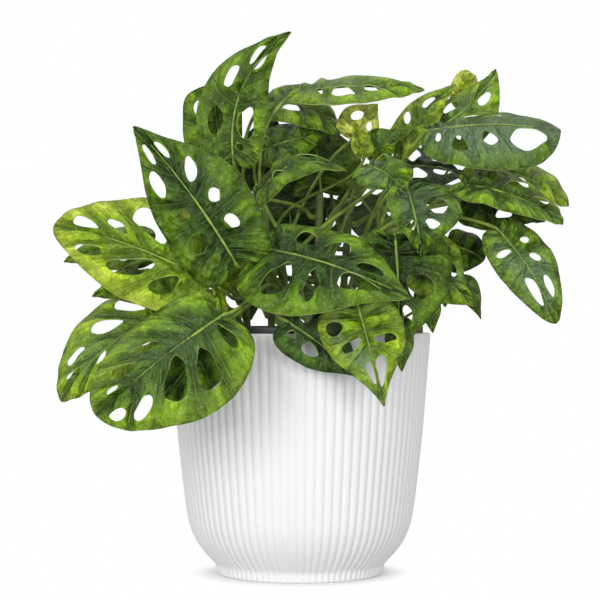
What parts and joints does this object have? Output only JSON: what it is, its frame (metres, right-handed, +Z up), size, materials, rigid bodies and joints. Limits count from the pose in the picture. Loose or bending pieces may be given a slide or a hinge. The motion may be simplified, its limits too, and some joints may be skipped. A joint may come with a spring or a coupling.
{
  "type": "monstera adansonii in a pot",
  "caption": "Bushy Monstera adansonii house plant with perforated green leaves, growing in a white, vertically ribbed pot.",
  "frame": {"origin": "centre of the pot's flat base, on the surface it stands on", "axes": "+Z up; the plant's fullest side looks towards -Y; +X to the right of that view"},
  "size_m": [0.349, 0.2824, 0.3717],
  "materials": {
    "pot_white": "matte, fine vertical ribs",
    "nursery_black": "matte",
    "soil_brown": "crumbly potting soil",
    "stem_green": "smooth green stem",
    "leaf_bright": "young leaf, satin",
    "leaf_green": "grown leaf, satin",
    "leaf_deep": "old leaf, satin"
  },
  "bodies": {
    "root": {"pot": "pot_white", "nursery_pot": "nursery_black", "soil": "soil_brown", "stem_1": "stem_green", "stem_2": "stem_green", "stem_3": "stem_green", "stem_4": "stem_green", "stem_5": "stem_green", "stem_6": "stem_green", "stem_7": "stem_green", "leaf_01": "leaf_green", "leaf_02": "leaf_deep", "leaf_03": "leaf_green", "leaf_04": "leaf_bright", "leaf_05": "leaf_green", "leaf_06": "leaf_green", "leaf_07": "leaf_bright", "leaf_08": "leaf_bright", "leaf_09": "leaf_deep", "leaf_10": "leaf_deep", "leaf_11": "leaf_green", "leaf_12": "leaf_green", "leaf_13": "leaf_green", "leaf_14": "leaf_deep", "leaf_15": "leaf_green", "leaf_16": "leaf_green", "leaf_17": "leaf_bright", "leaf_18": "leaf_bright", "leaf_19": "leaf_bright", "leaf_20": "leaf_deep", "leaf_21": "leaf_deep", "leaf_22": "leaf_bright", "leaf_23": "leaf_deep", "leaf_24": "leaf_bright", "leaf_25": "leaf_green", "leaf_26": "leaf_deep", "leaf_27": "leaf_green", "leaf_28": "leaf_deep", "leaf_29": "leaf_deep", "leaf_30": "leaf_deep", "leaf_31": "leaf_bright", "leaf_32": "leaf_deep", "leaf_33": "leaf_deep", "leaf_34": "leaf_deep", "leaf_35": "leaf_deep", "leaf_36": "leaf_green", "leaf_37": "leaf_green", "leaf_38": "leaf_green", "leaf_39": "leaf_bright", "leaf_40": "leaf_green", "leaf_41": "leaf_green", "leaf_42": "leaf_bright", "leaf_43": "leaf_deep", "leaf_44": "leaf_deep", "leaf_45": "leaf_green", "leaf_46": "leaf_green", "leaf_47": "leaf_deep", "leaf_48": "leaf_green", "leaf_49": "leaf_green", "leaf_50": "leaf_deep"}
  },
  "joints": []
}
